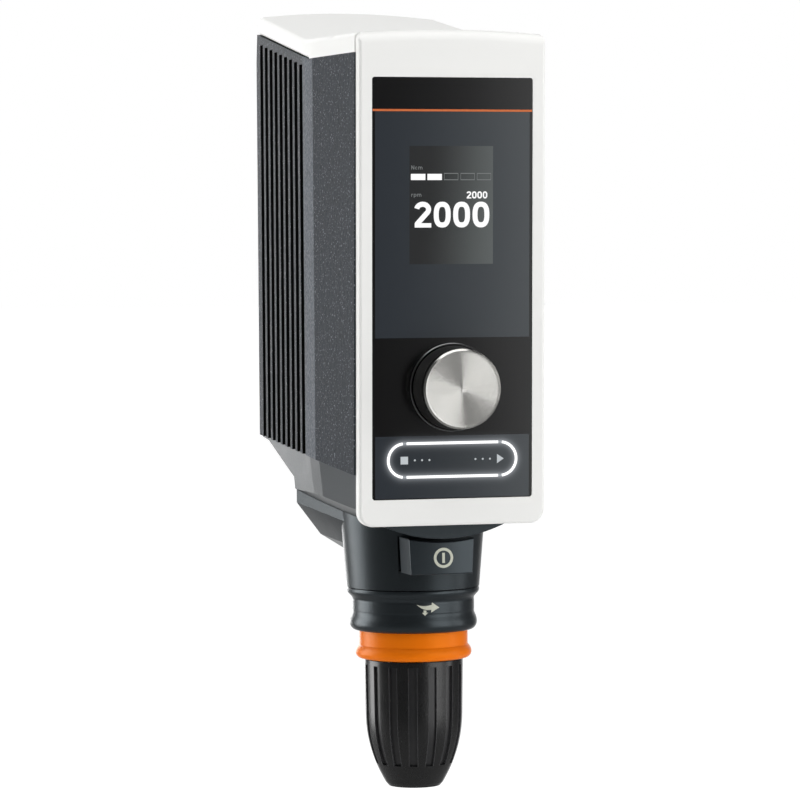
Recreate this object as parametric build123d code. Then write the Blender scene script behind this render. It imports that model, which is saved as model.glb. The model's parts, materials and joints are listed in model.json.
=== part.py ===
from build123d import *
import os
from math import cos, radians, sin, tan

# Overhead stirrer. +X to the right seen from the front, -Y to the front, +Z up.
# The origin is the centre of the chuck's nose, on the spindle axis. Millimetres.

# ---- driving dimensions: the housing in plan and in side view ----
WIDEST_HALF = 46.5            # at the strip between the plain panel and the fins
FRONT_HALF = 41.5             # where a side shell meets the front frame
REAR_HALF = 43.6              # at the rear corner of a side shell
STRIP_FRONT_Y = -7.0
STRIP_REAR_Y = 9.0
SHELL_REAR_Y = 110.5
SHELL_SLOPE_Z = 321.0         # above it a side shell's rear edge leans forward to the hood
HOOD_REAR_Y = 107.0
FRONT_LIMIT_Y = -72.0         # beyond the front; the tilted frame plane trims everything there
REAR_BOW = 7.0                # how far the rear bulges in the middle
ROOF_FRONT_Z = 333.6          # crest of the roof, in the middle, at FRONT_LIMIT_Y
ROOF_BREAK = (8.0, 335.7)     # y, z where the roof starts to climb
ROOF_REAR_Z = 352.5
CROWN_R = 520.0               # the roof and the frame's top edge are arched across the width
HOOD_EDGE_R = 2.2
BAND_FRONT_Z = 323.9          # lower edge of the hood's side band
BAND_BREAK = (0.0, 324.8)
BAND_REAR_Z = 342.5
FOOT_FRONT_Z = 141.7          # lower edge of the side shells, at FRONT_LIMIT_Y
FOOT_STRIP_Z = (147.4, 148.5)
FOOT_REAR_Z = 153.9
FIN_SLOTS = 9
FIN_FIRST_Y = 14.1
FIN_PITCH = 10.43
SLOT_WIDE = 6.3
SLOT_DEEP = 8.5
SLOT_MARGIN = 4.0             # from the slots' upper ends to the band

# ---- lower housing ----
BELLY_R = 66.0                # arc of the underside across the width
CHIN_Y = -50.0                # front face below the front frame
CHIN_TOP_Z = 121.5
CHIN_LOW_Z = 114.0
BELLY_CLIMB = 0.0235          # the underside rises by this much for each mm to the rear
KEEL_REAR_Y = 46.5
SLOPE_TOP = (94.0, 151.6)     # y, z of the upper end of the slope behind the keel

# ---- front panel, which leans forward at the top ----
PANEL_TILT = 1.63
PANEL_FOOT = (0, -62.7, 132.3)  # middle of the glass's lower edge
GLASS_WIDTH = 71.8
GLASS_HEIGHT = 181.0
GLASS_THICK = 2.2
GLASS_SUNK = 0.2
FRAME_HALF = 41.65
FRAME_BELOW = 11.6
FRAME_ABOVE = 20.4
FRAME_THICK = 5.5
FRAME_ROLL_R = 4.5            # front edge of the frame's top
KNOB_HOLE_R = 4.6
KNOB_UP = 48.1                # knob axis above the glass's lower edge
DISPLAY_UP = 126.9
DISPLAY_SIZE = (39.4, 54.0, 2.4)
STRIP_UP = 16.5               # middle of the touch strip
STRIP_LONG = 58.5
STRIP_TALL = 15.6
GUIDE_WALL = 2.4
BOARD_GAP = 6.5               # frame to control board
BOARD_THICK = 1.6

# ---- knob ----
KNOB_BASE_R = 18.0
KNOB_CAP_R = 17.2
KNOB_PROUD = 15.2
KNOB_CAP_THICK = 4.2
KNOB_SHAFT_R = 3.0
KNOB_SHAFT_BACK = 11.0        # depth of the shaft's end behind the panel
PLUNGER_R = 4.2
PLUNGER_DEPTH = (6.2, 10.8)
RUNNING = 0.05                # radial clearance of a running fit

# ---- neck, collar and chuck, all on the spindle axis ----
SEAM_Z = 89.7                 # neck meets locking collar
NECK_SEAM_R = 29.7
NECK_ROOT_R = 32.7
NECK_ROOT_Z = 126.0
NECK_BORE_R = 12.0
SPIGOT_R = 22.0
SPIGOT_Z = 73.5
BEARING_R = 17.5
BEARING_HIGH = 10.0
LOWER_BEARING_Z = 78.0
UPPER_BEARING_Z = 131.5
SPINDLE_R = 8.5
COLLAR_Z = 70.4
COLLAR_BORE_R = 24.65
COLLAR_GAP = 0.4
KEY_PITCH = 120              # degrees between the collar's keys
RING_TOP_Z = 72.5
RING_FOOT_Z = 57.6
RING_BAND_R = 24.3
RING_BEAD_R = 26.0
CHUCK_BORE_R = 5.25           # passes stirrer shafts up to 10 mm
CHUCK_BORE_DEEP = 46.0
CHUCK_BODY_R = 14.2
CHUCK_NOSE_R = 9.0
SLEEVE_TOP_Z = 57.0
NUT_R = 19.0
NUT_Z = (34.0, 42.5)
FLUTES = 15
FLUTE_WIDE = 3.6
FLUTE_DEEP = 1.1
FLUTE_Z = (10.2, 54.8)
FLUTE_START = 12.8            # degrees from +X to the first flute
JAWS = 3
JAW_LEAN = 16.0               # degrees between a jaw's guide and the spindle axis
JAW_R = 3.25
JAW_FACE_R = 5.35             # gripping faces when open
JAW_Z = (17.0, 41.0)
JAW_AXIS_R = 6.55             # guide axis from the spindle axis at the jaw's lower end

# ---- power button ----
BUTTON_BOTTOM_Z = 98.2
BUTTON_HALF = (14.0, 14.8)    # at the bottom and at the top
BUTTON_TOP_Z = 113.8
BUTTON_CROWN_Z = 112.4        # middle of the top edge, which follows the chin above it
BUTTON_FRONT_Y = -47.4
BUTTON_FACE_R = 75.0
BUTTON_BACK_Y = -30.0
POCKET_BACK_Y = -22.0
BUTTON_GAP = 0.25
SWITCH_FRONT_Y = -27.0
SWITCH_Z = 105.5

# ---- drive ----
MOTOR_Y = 56.0
MOTOR_R = 31.0
MOTOR_SHAFT_R = 4.0
PULLEY_Z = 149.5
PULLEY_HIGH = 10.0
PULLEY_FLANGE = 1.3           # a flange stands out this far beyond the belt's track
SPINDLE_PULLEY_R = 27.0
MOTOR_PULLEY_R = 11.0
BELT_THICK = 1.8
PLATE_Z = 163.0
PLATE_THICK = 5.0
UPRIGHT_Y = 93.0
COVER_INNER_Y = 107.5
ROD_Z = 268.0
ROD_R = 6.5
ROD_THREAD_R = 5.5
ROD_END_Y = 250.0
NUT_HIGH = 8.0
PAD_Y = 119.0                 # flat pad on the rear cover, under the rod's lock nut
INLET_Z = 190.0
SCREW_SEAT_Y = 111.5

panel = Location(PANEL_FOOT, (PANEL_TILT, 0, 0))
knob_seat = panel * Location((0, 0, KNOB_UP), (90, 0, 0))  # local +Z points out of the panel


def on_panel(sketch, front, back):
    """Extrude a sketch drawn on the panel from depth front to depth back."""
    return panel * (Pos(0, back, 0) * extrude(Plane.XZ * sketch, back - front))


def turned(points):
    """A solid turned about Z from a closed outline of (radius, height) points."""
    return revolve(Plane.XZ * make_face(Polyline(*points, close=True)), Axis.Z)


def side_prism(points, half=60):
    """A prism across the whole width from (y, z) points."""
    return extrude(Plane.YZ * make_face(Polyline(*points, close=True)), half, both=True)


def tube(outer, inner, low, high):
    return turned([(inner, low), (outer, low), (outer, high), (inner, high)])


def behind_frame(solid):
    """Trim a housing part against the tilted rear plane of the front frame."""
    ahead = panel * Pos(0, FRAME_THICK - 50, 100) * Box(200, 100, 600)
    return solid - ahead


# ---------------------------------------------------------------- front panel

def front_frame():
    tall = FRAME_BELOW + GLASS_HEIGHT + FRAME_ABOVE
    top = GLASS_HEIGHT + FRAME_ABOVE
    plate = Pos(0, tall / 2 - FRAME_BELOW) * Rectangle(2 * FRAME_HALF, tall)
    plate &= Pos(0, top - CROWN_R) * Circle(CROWN_R)
    plate = fillet(plate.vertices().sort_by(Axis.Y)[:2], 6.2)
    plate = fillet(plate.vertices().sort_by(Axis.Y)[-2:], 3.0)
    frame = Pos(0, FRAME_THICK, 0) * extrude(Plane.XZ * plate, FRAME_THICK)
    frame = fillet(frame.faces().sort_by(Axis.Y)[0].edges(), 1.2)
    frame = panel * (frame & rolled_disc(top))
    glass_room = Pos(0, GLASS_HEIGHT / 2) * RectangleRounded(GLASS_WIDTH + 0.1, GLASS_HEIGHT + 0.1, 1.3)
    floor = GLASS_SUNK + GLASS_THICK
    frame -= on_panel(glass_room, -1, floor)
    display_room = Pos(0, DISPLAY_UP) * Rectangle(DISPLAY_SIZE[0], DISPLAY_SIZE[1])
    frame -= on_panel(display_room, floor, floor + DISPLAY_SIZE[2])
    frame -= on_panel(Pos(0, KNOB_UP) * Circle(KNOB_HOLE_R), 0, 10)
    frame -= on_panel(light_strip(), 0, 10)
    for x in (-27, 27):
        for up in (34, 168):
            post = Pos(x, up) * Circle(2.5)
            frame += on_panel(post, FRAME_THICK, FRAME_THICK + BOARD_GAP)
    return frame


def rolled_disc(top):
    """A large disc whose rim is the frame's arched top, with a rolled front edge."""
    roll = FRAME_ROLL_R
    start = (0, top - roll)
    middle = (roll * (1 - cos(radians(45))), top - roll * (1 - sin(radians(45))))
    end = (roll, top)
    centre_up = top - CROWN_R
    rim = ThreePointArc(start, middle, end)
    rest = Polyline(end, (20, top), (20, centre_up), (0, centre_up), start)
    face = Plane.YZ * make_face((rim + rest).edges())
    return revolve(face, Axis((0, 0, centre_up), (0, 1, 0)))


def light_strip():
    """The bars of the touch strip's light ring, as a sketch."""
    outer = SlotOverall(STRIP_LONG, STRIP_TALL)
    inner = SlotOverall(STRIP_LONG - 2 * GUIDE_WALL, STRIP_TALL - 2 * GUIDE_WALL)
    breaks = [Pos(x, 0) * Rectangle(1.9, 30) for x in (-21.4, 21.4)]
    return Pos(0, STRIP_UP) * (outer - inner - breaks)


def front_glass():
    glass = Pos(0, GLASS_HEIGHT / 2) * RectangleRounded(GLASS_WIDTH, GLASS_HEIGHT, 1.2)
    glass -= Pos(0, KNOB_UP) * Circle(KNOB_HOLE_R)
    return on_panel(glass, GLASS_SUNK, GLASS_SUNK + GLASS_THICK)


def display_module():
    face = Pos(0, DISPLAY_UP) * Rectangle(DISPLAY_SIZE[0], DISPLAY_SIZE[1])
    front = GLASS_SUNK + GLASS_THICK
    return on_panel(face, front, front + DISPLAY_SIZE[2])


def light_guide():
    return on_panel(light_strip(), GLASS_SUNK + GLASS_THICK, FRAME_THICK + BOARD_GAP)


def control_board():
    front = FRAME_THICK + BOARD_GAP
    board = on_panel(Pos(0, 97) * RectangleRounded(64, 160, 2), front, front + BOARD_THICK)
    back = front + BOARD_THICK
    for x, up, side in ((-14, 60, 14), (12, 62, 9)):
        board += on_panel(Pos(x, up) * Rectangle(side, side), back, back + 2)
    board += on_panel(Pos(0, 120) * Rectangle(22, 6), back, back + 6)
    board += on_panel(Pos(-20, 150) * Rectangle(10, 10), back, back + 8)
    board += on_panel(Pos(18, 150) * Rectangle(12, 7), back, back + 9)
    return board


def knob_ring():
    """The thin bright ring that the knob stands in."""
    inner = KNOB_BASE_R + 0.4
    outer = KNOB_BASE_R + 1.1
    return knob_seat * turned([(inner, -GLASS_SUNK), (outer, -GLASS_SUNK), (outer, 0.4), (outer - 0.25, 0.7),
                               (inner, 0.5)])


def knob_grip():
    """Black cup with a flared skirt and a hub for the shaft."""
    cap_z = KNOB_PROUD - KNOB_CAP_THICK
    outline = [(KNOB_SHAFT_R, 2.5), (6.0, 2.5), (6.0, 6.5), (15.0, 6.5), (16.4, 1.0), (KNOB_BASE_R, 1.0),
               (17.7, 3.0), (17.2, 6.5), (16.8, cap_z), (KNOB_SHAFT_R, cap_z)]
    return knob_seat * turned(outline)


def knob_cap():
    """Turned metal cap with a bevelled rim and a slightly dished face."""
    low = KNOB_PROUD - KNOB_CAP_THICK
    outline = [(0, low), (KNOB_CAP_R - 0.4, low), (KNOB_CAP_R, low + 0.4), (KNOB_CAP_R, KNOB_PROUD - 0.8),
               (KNOB_CAP_R - 0.8, KNOB_PROUD), (KNOB_CAP_R - 1.5, KNOB_PROUD - 0.15), (0, KNOB_PROUD - 0.45)]
    return knob_seat * turned(outline)


def knob_shaft():
    return knob_seat * tube(KNOB_SHAFT_R, 0, -KNOB_SHAFT_BACK, KNOB_PROUD - KNOB_CAP_THICK)


def encoder_plunger():
    near, far = PLUNGER_DEPTH
    return knob_seat * tube(PLUNGER_R, KNOB_SHAFT_R + RUNNING, -far, -near)


def encoder_body():
    can = Pos(0, KNOB_UP) * (RectangleRounded(14, 14, 1) - Circle(PLUNGER_R + RUNNING))
    return on_panel(can, FRAME_THICK, FRAME_THICK + BOARD_GAP)


# ------------------------------------------------------------- upper housing

def rear_arc(half, y, bow):
    return ThreePointArc((half, y), (0, y + bow), (-half, y))


def hood_form(inset):
    """The hood's outer form, or the form of its inside when inset."""
    side = [(FRONT_HALF - inset, FRONT_LIMIT_Y), (WIDEST_HALF - inset, STRIP_FRONT_Y),
            (WIDEST_HALF - inset, STRIP_REAR_Y), (REAR_HALF - 0.3 - inset, HOOD_REAR_Y - inset)]
    mirrored = [(-x, y) for x, y in reversed(side)]
    outline = Polyline(*side) + rear_arc(side[-1][0], side[-1][1], REAR_BOW)
    outline += Polyline(*mirrored) + Line(mirrored[-1], side[0])
    column = Pos(0, 0, 300) * extrude(make_face(outline.edges()), 70)
    end_y = HOOD_REAR_Y + 12
    roof_climb = (ROOF_REAR_Z - ROOF_BREAK[1]) / (HOOD_REAR_Y - ROOF_BREAK[0])
    line = [(FRONT_LIMIT_Y - 6, ROOF_FRONT_Z), ROOF_BREAK, (end_y, ROOF_REAR_Z + roof_climb * 12)]
    crest = Plane.YZ * Pos(0, -inset) * FilletPolyline(*line, radius=70)
    half = 60
    drop = half ** 2 / (2 * CROWN_R)
    across = ThreePointArc((-half, drop), (0, 0), (half, drop))
    across += Polyline((half, drop), (half, 50), (-half, 50), (-half, drop))
    start = Plane(origin=crest @ 0, x_dir=(1, 0, 0), z_dir=crest % 0)
    roof = sweep(start * make_face(across.edges()), path=crest)
    band_climb = (BAND_REAR_Z - BAND_BREAK[1]) / (HOOD_REAR_Y - BAND_BREAK[0])
    above_band = side_prism([(end_y, 400), (end_y, BAND_REAR_Z + band_climb * 12), BAND_BREAK,
                             (FRONT_LIMIT_Y, BAND_FRONT_Z), (FRONT_LIMIT_Y, 400)])
    return column & roof & above_band


def top_hood():
    outer = hood_form(0)
    rim = [e for e in outer.edges() if e.center().Z > ROOF_BREAK[1] - 6 and e.length > 6]
    corners = [e for e in outer.edges().filter_by(Axis.Z) if e.center().Y > STRIP_FRONT_Y - 1]
    outer = fillet(rim + corners, HOOD_EDGE_R)
    return behind_frame(outer) - hood_form(2.5)


def shell_side_profile():
    return side_prism([(FRONT_LIMIT_Y, FOOT_FRONT_Z), (STRIP_FRONT_Y, FOOT_STRIP_Z[0]),
                       (STRIP_REAR_Y, FOOT_STRIP_Z[1]), (SHELL_REAR_Y, FOOT_REAR_Z),
                       (SHELL_REAR_Y, SHELL_SLOPE_Z), (HOOD_REAR_Y, BAND_REAR_Z), BAND_BREAK,
                       (FRONT_LIMIT_Y, BAND_FRONT_Z)])


def shell_surface_x(y):
    """Half-width of the finned flank, which narrows to the rear."""
    return WIDEST_HALF - (y - STRIP_REAR_Y) * (WIDEST_HALF - REAR_HALF) / (SHELL_REAR_Y - STRIP_REAR_Y)


def slot_top_z(y):
    climb = (BAND_REAR_Z - BAND_BREAK[1]) / (HOOD_REAR_Y - BAND_BREAK[0])
    return BAND_BREAK[1] + climb * y - SLOT_MARGIN


def side_shell_right():
    web = 33.0
    plan = [(FRONT_HALF, FRONT_LIMIT_Y), (WIDEST_HALF, STRIP_FRONT_Y), (WIDEST_HALF, STRIP_REAR_Y),
            (REAR_HALF, SHELL_REAR_Y), (web, SHELL_REAR_Y), (web, 12), (43.3, 2), (43.3, STRIP_FRONT_Y),
            (FRONT_HALF - 3, FRONT_LIMIT_Y)]
    block = Pos(0, 0, 100) * extrude(make_face(Polyline(*plan, close=True)), 260)
    upright_edges = [e for e in block.edges().filter_by(Axis.Z) if e.center().X > 43.4]
    block = fillet(upright_edges, 1.5)
    shell = behind_frame(block & shell_side_profile())
    for i in range(FIN_SLOTS):
        y = FIN_FIRST_Y + i * FIN_PITCH
        high = slot_top_z(y)
        shell -= Pos(shell_surface_x(y), y, high - 120) * Box(2 * SLOT_DEEP, SLOT_WIDE, 240)
    return shell


def side_shell_left():
    return mirror(side_shell_right(), about=Plane.YZ)


def rear_cover():
    half = 32.9
    outline = Polyline((-half, SHELL_REAR_Y), (-half, COVER_INNER_Y), (half, COVER_INNER_Y),
                       (half, SHELL_REAR_Y))
    outline += rear_arc(half, SHELL_REAR_Y, REAR_BOW)
    cover = Pos(0, 0, 150) * extrude(make_face(outline.edges()), 200)
    cover &= side_prism([(100, 153.2), (125, 154.6), (125, 305), (110.5, 342.9), (100, 341.3)])
    pad = Rot(90, 0, 0) * Cylinder(14, PAD_Y - COVER_INNER_Y)
    cover += Pos(0, (PAD_Y + COVER_INNER_Y) / 2, ROD_Z) * pad
    cover -= Pos(0, 110, ROD_Z) * Rot(90, 0, 0) * Cylinder(ROD_THREAD_R + 0.4, 40)
    cover -= Pos(0, 112, INLET_Z) * Box(28.2, 30, 20.2)
    for x, z in rear_screw_places():
        cover -= Pos(x, 112, z) * Rot(90, 0, 0) * Cylinder(1.9, 30)
        cover -= Pos(x, SCREW_SEAT_Y + 5, z) * Rot(90, 0, 0) * Cylinder(3.6, 10)
    return cover


def rear_screw_places():
    return [(x, z) for x in (-23, 23) for z in (178, 298)]


def rear_screws():
    screws = []
    for x, z in rear_screw_places():
        head = Pos(0, 0, 1.1) * Cylinder(3.2, 2.2) - Pos(0, 0, 1.6) * extrude(RegularPolygon(1.6, 6), 2)
        shank = Pos(0, 0, -6.5) * Cylinder(1.6, 13)
        screws.append(Pos(x, SCREW_SEAT_Y, z) * Rot(-90, 0, 0) * (head + shank))
    return Compound(screws)


# ------------------------------------------------------------- lower housing

def lower_housing_flanks():
    """Tapered column under the side shells: its flanks lean in towards the foot."""
    def plan(front, strip, rear):
        side = [(front, FRONT_LIMIT_Y), (strip, STRIP_FRONT_Y), (strip, STRIP_REAR_Y),
                (rear, COVER_INNER_Y)]
        return make_face(Polyline(*side, *[(-x, y) for x, y in reversed(side)], close=True))
    low = Pos(0, 0, 95) * plan(39.6, 39.4, 38.2)
    high = Pos(0, 0, 156) * plan(39.9, 45.8, 42.8)
    return loft([low, high], ruled=True)


def lower_housing_belly():
    """Everything above the underside, an arc across the width that rises a little to the rear."""
    def section(y):
        low = CHIN_LOW_Z + (y - CHIN_Y) * BELLY_CLIMB
        half = 52
        edge = low + BELLY_R - (BELLY_R ** 2 - half ** 2) ** 0.5
        arc = ThreePointArc((-half, edge), (0, low), (half, edge))
        top = Polyline((half, edge), (half, 180), (-half, 180), (-half, edge))
        return Pos(0, y, 0) * (Plane.XZ * make_face((arc + top).edges()))
    return loft([section(FRONT_LIMIT_Y), section(COVER_INNER_Y)], ruled=True)


def lower_housing_keel():
    """Faceted bowl behind the neck, widest at its rear and ending inside the neck."""
    def section(y, corners):
        points = [(corners[0][0], 150)] + corners
        points += [(-x, z) for x, z in reversed(points)]
        return Pos(0, y, 0) * (Plane.XZ * make_face(Polyline(*points, close=True)))
    front = section(-5, [(31.5, 119), (26, 107), (16, 102)])
    rear = section(KEEL_REAR_Y, [(41.7, 125.2), (30.6, 110.5), (19.3, 103.5)])
    return loft([front, rear], ruled=True)


def neck():
    """Slightly flared cone from the collar's seam up into the belly."""
    return turned([(0, SEAM_Z), (NECK_SEAM_R, SEAM_Z), (31.05, 106), (NECK_ROOT_R, NECK_ROOT_Z),
                   (0, NECK_ROOT_Z)])


def button_outline(gap):
    low, high = BUTTON_HALF[0] + gap, BUTTON_HALF[1] + gap
    sides = Polyline((-high, BUTTON_TOP_Z + gap), (-low, BUTTON_BOTTOM_Z - gap),
                     (low, BUTTON_BOTTOM_Z - gap), (high, BUTTON_TOP_Z + gap))
    crown = ThreePointArc((high, BUTTON_TOP_Z + gap), (0, BUTTON_CROWN_Z + gap),
                          (-high, BUTTON_TOP_Z + gap))
    return Plane.XZ * make_face((sides + crown).edges())


def lower_housing():
    side = side_prism([(FRONT_LIMIT_Y, CHIN_TOP_Z), (CHIN_Y, CHIN_TOP_Z), (CHIN_Y, 80), (KEEL_REAR_Y, 80),
                       (KEEL_REAR_Y, 137), SLOPE_TOP, (COVER_INNER_Y, 152.9), (COVER_INNER_Y, 153.74),
                       (STRIP_REAR_Y, FOOT_STRIP_Z[1]), (STRIP_FRONT_Y, FOOT_STRIP_Z[0]),
                       (FRONT_LIMIT_Y, FOOT_FRONT_Z)])
    form = lower_housing_belly() + lower_housing_keel()
    body = behind_frame(lower_housing_flanks() & form & side)
    body = body + neck()
    cavity = side_prism([(-46, 128), (42, 128), (42, 140), (97, 155), (97, 170), (-62, 170),
                         (-62, 137), (-46, 137)], 33)
    body -= cavity
    body += tube(24, NECK_BORE_R, 112, 141.5)
    body += tube(SPIGOT_R, NECK_BORE_R, SPIGOT_Z, SEAM_Z + 1)
    body -= Pos(0, 0, 100) * Cylinder(NECK_BORE_R, 120)
    body -= tube(BEARING_R, 0, SPIGOT_Z - 1, LOWER_BEARING_Z + BEARING_HIGH)
    body -= tube(BEARING_R, 0, UPPER_BEARING_Z, UPPER_BEARING_Z + BEARING_HIGH + 0.5)
    body -= Pos(0, POCKET_BACK_Y, 0) * extrude(button_outline(BUTTON_GAP), 40)
    for x in (-28, 28):
        for y in (-40, 36):
            body += Pos(x, y, (126 + PLATE_Z) / 2) * Cylinder(4, PLATE_Z - 126)
    return body


def power_button():
    block = Pos(0, BUTTON_BACK_Y, 0) * extrude(button_outline(0), 30)
    block &= Pos(0, BUTTON_FRONT_Y + BUTTON_FACE_R, 100) * Cylinder(BUTTON_FACE_R, 60)
    front_edges = [e for e in block.edges() if e.center().Y < BUTTON_FRONT_Y + 1.6 and e.length > 5]
    return fillet(front_edges, 0.6)


def power_switch():
    case = Pos(0, (POCKET_BACK_Y + SWITCH_FRONT_Y) / 2, SWITCH_Z) * Box(13, POCKET_BACK_Y - SWITCH_FRONT_Y, 9)
    stem = Pos(0, SWITCH_FRONT_Y - 0.6, SWITCH_Z) * Rot(90, 0, 0) * Cylinder(2.5, 1.4)
    return case + stem


def bearing(low):
    """Sealed ball bearing: outer and inner races with recessed shields."""
    inner = SPINDLE_R + RUNNING
    high = low + BEARING_HIGH
    return turned([(inner, low), (10.6, low), (10.8, low + 0.6), (15.0, low + 0.6), (15.2, low),
                   (BEARING_R, low), (BEARING_R, high), (15.2, high), (15.0, high - 0.6),
                   (10.8, high - 0.6), (10.6, high), (inner, high)])


# -------------------------------------------------------- collar and spindle

def lock_collar():
    bead = [(25.2, COLLAR_Z), (27.3, COLLAR_Z + 0.5), (28.3, COLLAR_Z + 2.0), (28.5, COLLAR_Z + 3.7),
            (28.1, COLLAR_Z + 5.6), (27.5, COLLAR_Z + 7.0), (27.3, COLLAR_Z + 9.0)]
    lip = [(27.3, 83.4), (27.6, 85.2), (28.6, 86.3), (29.4, 87.3), (29.6, SEAM_Z - COLLAR_GAP - 0.8),
           (29.3, SEAM_Z - COLLAR_GAP)]
    top = SEAM_Z - COLLAR_GAP
    outline = Line((COLLAR_BORE_R, COLLAR_Z), bead[0]) + Spline(*bead) + Line(bead[-1], lip[0]) + Spline(*lip)
    outline += Polyline(lip[-1], (COLLAR_BORE_R, top), (COLLAR_BORE_R, COLLAR_Z))
    ring = revolve(Plane.XZ * make_face(outline.edges()), Axis.Z)
    for i in range(3):
        groove = Pos(COLLAR_BORE_R, 0, (74 + 95) / 2) * Box(2.2, 6.3, 21)
        ring -= Rot(0, 0, 90 + KEY_PITCH * i) * groove
    return ring


def cam_ring():
    """Detent ring on the spigot; its keys carry the collar round and let it slide down."""
    ring = tube(COLLAR_BORE_R - 0.1, SPIGOT_R + RUNNING, 76, 84)
    for i in range(3):
        key = Pos(COLLAR_BORE_R, 0, 80) * Box(1.8, 6.1, 6)
        ring += Rot(0, 0, 90 + KEY_PITCH * i) * (key - Cylinder(COLLAR_BORE_R - 0.4, 200))
    return ring


def drive_ring():
    outline = [(16, RING_FOOT_Z), (23.4, RING_FOOT_Z)]
    bead = Spline((23.4, RING_FOOT_Z), (25.3, 58.4), (RING_BEAD_R, 60.2), (25.4, 62.2), (RING_BAND_R, 63.6))
    rest = Polyline((RING_BAND_R, 63.6), (RING_BAND_R, RING_TOP_Z), (SPINDLE_R, RING_TOP_Z), (SPINDLE_R, 66),
                    (16, 66), (16, RING_FOOT_Z))
    return revolve(Plane.XZ * make_face((Line(*outline) + bead + rest).edges()), Axis.Z)


def spindle():
    shoulder = 10.4
    return turned([(0, CHUCK_BORE_DEEP), (SPINDLE_R, CHUCK_BORE_DEEP), (SPINDLE_R, RING_TOP_Z),
                   (shoulder, RING_TOP_Z), (shoulder, LOWER_BEARING_Z), (SPINDLE_R, LOWER_BEARING_Z),
                   (SPINDLE_R, 161), (SPINDLE_R - 1, 162), (0, 162)])


def pulley(radius, bore, hub):
    """Smooth flanged belt pulley with a turned-out web."""
    low = PULLEY_Z
    high = PULLEY_Z + PULLEY_HIGH
    rim = radius - 4
    flange = radius + PULLEY_FLANGE
    return turned([(bore, low), (hub, low), (hub, low + 2), (rim, low + 2), (rim, low), (flange, low),
                   (flange, low + 0.8), (radius, low + 0.8), (radius, high - 0.8), (flange, high - 0.8),
                   (flange, high), (rim, high), (rim, high - 2), (hub, high - 2), (hub, high),
                   (bore, high)])


def drive_belt():
    def loop(extra):
        front = Circle(SPINDLE_PULLEY_R + extra).edges()
        rear = (Pos(0, MOTOR_Y) * Circle(MOTOR_PULLEY_R + extra)).edges()
        return make_hull(front + rear)
    band = loop(RUNNING + BELT_THICK) - loop(RUNNING)
    return Pos(0, 0, PULLEY_Z + 1.0) * extrude(band, PULLEY_HIGH - 2.0)


def motor_pulley():
    low = PULLEY_Z
    high = PULLEY_Z + PULLEY_HIGH
    r = MOTOR_PULLEY_R
    flange = r + PULLEY_FLANGE
    wheel = turned([(MOTOR_SHAFT_R, low), (flange, low), (flange, low + 0.8), (r, low + 0.8),
                    (r, high - 0.8), (flange, high - 0.8), (flange, high), (MOTOR_SHAFT_R, high)])
    return Pos(0, MOTOR_Y, 0) * wheel


def motor_stator():
    """Brushless motor's can with ribs cut round it and a bore through both end plates."""
    low = PLATE_Z + PLATE_THICK
    bore = MOTOR_SHAFT_R + RUNNING
    can = turned([(bore, low), (MOTOR_R, low), (MOTOR_R, low + 54), (MOTOR_R - 2, low + 56),
                  (bore, low + 56), (bore, low + 52), (18, low + 52), (18, low + 4), (bore, low + 4)])
    for i in range(12):
        rib = Pos(MOTOR_R, 0, low + 29) * Box(1.6, 3, 44)
        can -= Rot(0, 0, 30 * i) * rib
    return Pos(0, MOTOR_Y, 0) * can


def motor_rotor():
    low = PLATE_Z + PLATE_THICK
    r = MOTOR_SHAFT_R
    rotor = turned([(0, PULLEY_Z - 1), (r, PULLEY_Z - 1), (r, low + 7), (17.5, low + 7),
                    (17.5, low + 49), (r, low + 49), (r, low + 57), (0, low + 57)])
    return Pos(0, MOTOR_Y, 0) * rotor


def drive_frame():
    """Cast bracket: the motor's plate, and the upright that holds the support rod."""
    plate = Pos(0, 26.5, PLATE_Z + PLATE_THICK / 2) * Box(64, 143, PLATE_THICK)
    plate = fillet(plate.edges().filter_by(Axis.Z), 5)
    plate -= Pos(0, MOTOR_Y, PLATE_Z) * Cylinder(9, 30)
    plate -= Pos(0, -8, PLATE_Z) * Cylinder(14, 30)
    upright = Pos(0, UPRIGHT_Y + 2.5, (PLATE_Z + 305) / 2) * Box(56, 5, 305 - PLATE_Z)
    frame = plate + upright
    low = PLATE_Z + PLATE_THICK
    for x in (-31.5, 28.5):
        corners = [(UPRIGHT_Y, low), (UPRIGHT_Y, low + 60), (UPRIGHT_Y - 22, low)]
        gusset = Plane.YZ * make_face(Polyline(*corners, close=True))
        frame += Pos(x, 0, 0) * extrude(gusset, 3)
    frame += Pos(0, UPRIGHT_Y + 7.25, ROD_Z) * Rot(90, 0, 0) * Cylinder(13, 14.5)
    frame -= Pos(0, UPRIGHT_Y + 7.25, ROD_Z) * Rot(90, 0, 0) * Cylinder(ROD_THREAD_R, 14.5)
    for x, z in rear_screw_places():
        frame += Pos(x, 102.75, z) * Rot(90, 0, 0) * Cylinder(4, 9.5)
        frame -= Pos(x, 104, z) * Rot(90, 0, 0) * Cylinder(1.6, 12)
    frame -= Pos(0, UPRIGHT_Y, INLET_Z) * Box(34, 20, 26)
    return frame


def power_board():
    board = Pos(0, 87.2, 261) * Box(52, 1.6, 58)
    for x in (-22, 22):
        for z in (237, 285):
            board += Pos(x, 90.5, z) * Rot(90, 0, 0) * Cylinder(2.5, 5.0)
    for x in (-17, 0):
        board += Pos(x, 73.9, 270) * Rot(90, 0, 0) * Cylinder(6, 25)
    board += Pos(17, 78.9, 262) * Box(14, 15, 30)
    return board


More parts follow.
